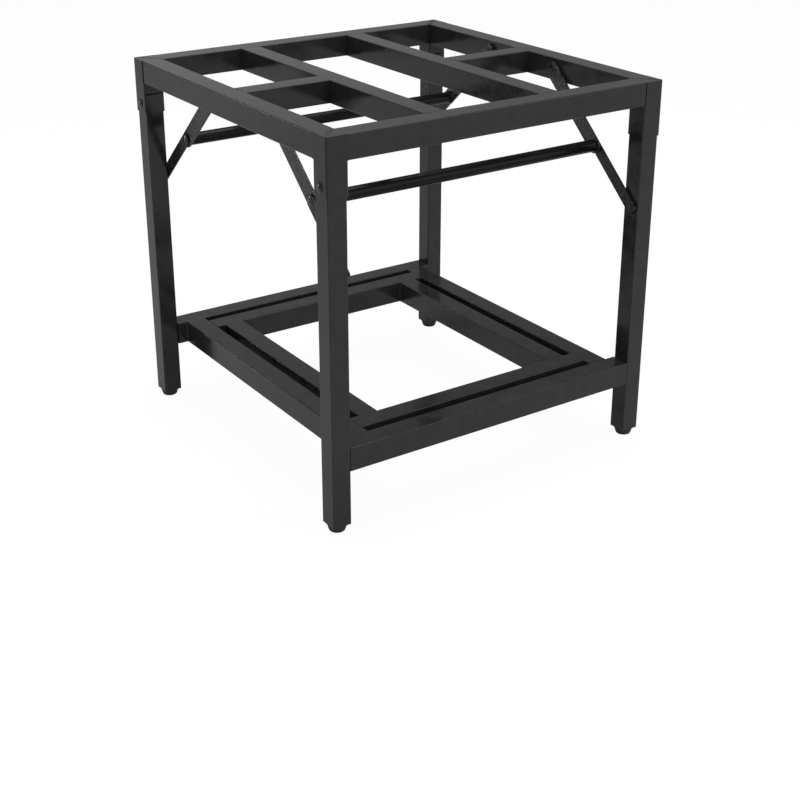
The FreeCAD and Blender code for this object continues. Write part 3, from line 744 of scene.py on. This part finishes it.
# %% [markdown]
# ## The floor
# The picture is a plain studio shot on white. The floor is one large sheet,
# far wider than the view, so that no edge shows from any side. Its white
# isn't made with more light, which would also wash out the black coat. It is
# in the sheet's own finish: what the camera sees is mostly white, and a
# share of plain paper stays under it to take the shadow of the feet. The
# reflections see more of the paper, and the paper itself is greyer for the
# light that it throws back, or the coat would look dusty from below.

# %% Lay the floor
FLOOR_REACH = 14.0
FLOOR_DROP = 0.0004
FIBRE_REPEATS = 90
LIGHTING_PAPER = ((0.46, 0.46, 0.46, 1), (0.49, 0.49, 0.49, 1))
PICTURED_PAPER = ((0.93, 0.93, 0.93, 1), (0.96, 0.96, 0.96, 1))
WHITE_SHARE, MIRROR_LOSS = 0.95, 0.82


def lay_floor():
    sheet = bmesh.new()
    corners = [(-1, -1), (1, -1), (1, 1), (-1, 1)]
    sheet.faces.new([
        sheet.verts.new((x * FLOOR_REACH, y * FLOOR_REACH, -FLOOR_DROP))
        for x, y in corners
    ])
    data = bpy.data.meshes.new("studio_floor")
    sheet.to_mesh(data)
    sheet.free()
    floor = bpy.data.objects.new("studio_floor", data)
    bpy.context.scene.collection.objects.link(floor)
    return floor


def ray(bench, kind):
    return bench.node("ShaderNodeLightPath", output=f"Is {kind} Ray")


def seen_or_mirrored(bench):
    """1 for what the camera sees, straight or in a mirror or glass."""
    straight = ray(bench, "Camera")
    kinds = straight + ray(bench, "Glossy") + ray(bench, "Transmission")
    return stretch(bench, kinds, 0.0, 1.0)


def floor_paper():
    bench = Bench(bpy.data.materials.new("floor_paper"))
    fibre = stretch(bench, grain(bench, FIBRE_REPEATS, 4), *WIDE)
    lighting = bench.blend(fibre, *LIGHTING_PAPER)
    pictured = bench.blend(fibre, *PICTURED_PAPER)
    tone = bench.blend(ray(bench, "Camera"), lighting, pictured)
    paper = bench.node("ShaderNodeBsdfDiffuse", None, {"Color": tone})
    white = bench.node("ShaderNodeEmission", None, {"Strength": 1.0})
    mirrored = ray(bench, "Glossy") * MIRROR_LOSS
    share = seen_or_mirrored(bench) * WHITE_SHARE - mirrored
    sockets = {0: share, 1: paper, 2: white}
    surface = bench.node("ShaderNodeMixShader", None, sockets)
    bench.node("ShaderNodeOutputMaterial", None, {"Surface": surface})
    return bench.owner


floor = lay_floor()
floor.data.materials.append(floor_paper())
print("floor:", floor.name)

# %% [markdown]
# ## Light
# A satin black skin shows little colour of its own. What is seen on it is
# the white of the room, stronger where the face is seen at a low angle. So
# the room is lit evenly and kept plain. The world fills every side, and it
# is a little darker to the right and overhead, which shades the tops from
# left to right. One wide lamp from above draws the soft shadow and lifts the
# top, and a weaker one from the front keeps the near faces readable. Strong
# small lamps would put hard streaks on every tube, so the one small lamp is
# weak: it hangs low behind the left side and puts a dot on each bolt head.

# %% The room
WHITE = (1.0, 1.0, 1.0, 1)
LOW_SKY, HIGH_SKY = (0.02, 0.12), (0.12, 0.6)
RIGHT_WALL = (0.38, 0.62)
SEEN_WALL = 0.50
LOW_LOSS, CEILING_LOSS, RIGHT_LOSS = 0.03, 0.19, 0.175
AMBIENT = 0.53


def light_room():
    world = bpy.data.worlds.new("studio_room")
    bpy.context.scene.world = world
    bench = Bench(world)
    towards = bench.node("ShaderNodeTexCoord", output="Generated")
    rightwards, height = (
        bench.node("ShaderNodeSeparateXYZ", None, {0: towards}, output=axis)
        for axis in "XZ"
    )
    above = LOW_LOSS * stretch(bench, height, *LOW_SKY)
    ceiling = CEILING_LOSS * stretch(bench, height, *HIGH_SKY)
    right_wall = RIGHT_LOSS * stretch(bench, rightwards, *RIGHT_WALL)
    mirrored = SEEN_WALL - above - ceiling - right_wall
    glossy = ray(bench, "Glossy")
    share = seen_or_mirrored(bench)
    strength = (share - glossy) + glossy * mirrored + (1 - share) * AMBIENT
    sockets = {"Color": WHITE, "Strength": strength}
    room = bench.node("ShaderNodeBackground", None, sockets)
    bench.node("ShaderNodeOutputWorld", None, {"Surface": room})
    print("light on the sides:", AMBIENT)


light_room()

# %% Lamps
def hang_lamp(name, place, aim, width, watts):
    data = bpy.data.lights.new(name, "AREA")
    data.shape = "SQUARE"
    data.size = width
    data.energy = watts
    lamp = bpy.data.objects.new(name, data)
    bpy.context.scene.collection.objects.link(lamp)
    lamp.visible_camera = False
    lamp.location = place
    lamp.rotation_euler = (aim - place).to_track_quat("-Z", "Y").to_euler()
    print(name, "distance:", round((aim - place).length, 2))


LAMPS = {
    "wide_lamp": ((0.1, 0.2, 3.4), 2.6, 100),
    "front_lamp": ((1.2, -3.0, 2.0), 3.6, 52),
    "rim_lamp": ((-2.0, 2.6, 0.42), 0.3, 3),
}
middle_of_frame = (frame_low + frame_high) / 2
for name, (place, width, watts) in LAMPS.items():
    hang_lamp(name, Vector(place), middle_of_frame, width, watts)

# %% [markdown]
# ## The camera
# The view is from the left of the front corner, a little above the top, with
# a long lens, so the uprights stay almost parallel. Its place was worked out
# from the corners of the frame and the ends of the tubes. The object sits
# high in the square picture. A small part of that comes from shifting the
# lens upwards, and the rest from tilting the camera down.

# %% Set the camera
PICTURE = 800
SENSOR = 36.0
FOCUS_PIXELS = 1408.0
LENS_CENTRE = (395.6, 320.0)
CAMERA_PLACE = Vector((-1.3417, -2.0100, 1.1870))
CAMERA_YAW = math.radians(56.02)
CAMERA_PITCH = math.radians(-22.44)
FAR_ENOUGH = 60.0

lens = bpy.data.cameras.new("studio_camera")
lens.sensor_width = SENSOR
lens.lens = FOCUS_PIXELS * SENSOR / PICTURE
lens.shift_x = (PICTURE / 2 - LENS_CENTRE[0]) / PICTURE
lens.shift_y = (LENS_CENTRE[1] - PICTURE / 2) / PICTURE
lens.clip_end = FAR_ENOUGH
camera = bpy.data.objects.new("studio_camera", lens)
bpy.context.scene.collection.objects.link(camera)
ahead = Vector((
    math.cos(CAMERA_PITCH) * math.cos(CAMERA_YAW),
    math.cos(CAMERA_PITCH) * math.sin(CAMERA_YAW),
    math.sin(CAMERA_PITCH),
))
camera.location = CAMERA_PLACE
camera.rotation_euler = ahead.to_track_quat("-Z", "Y").to_euler()
bpy.context.scene.camera = camera
bpy.context.scene.view_settings.view_transform = "Standard"
print("lens:", round(lens.lens, 2), "mm, shift:", round(lens.shift_y, 3))
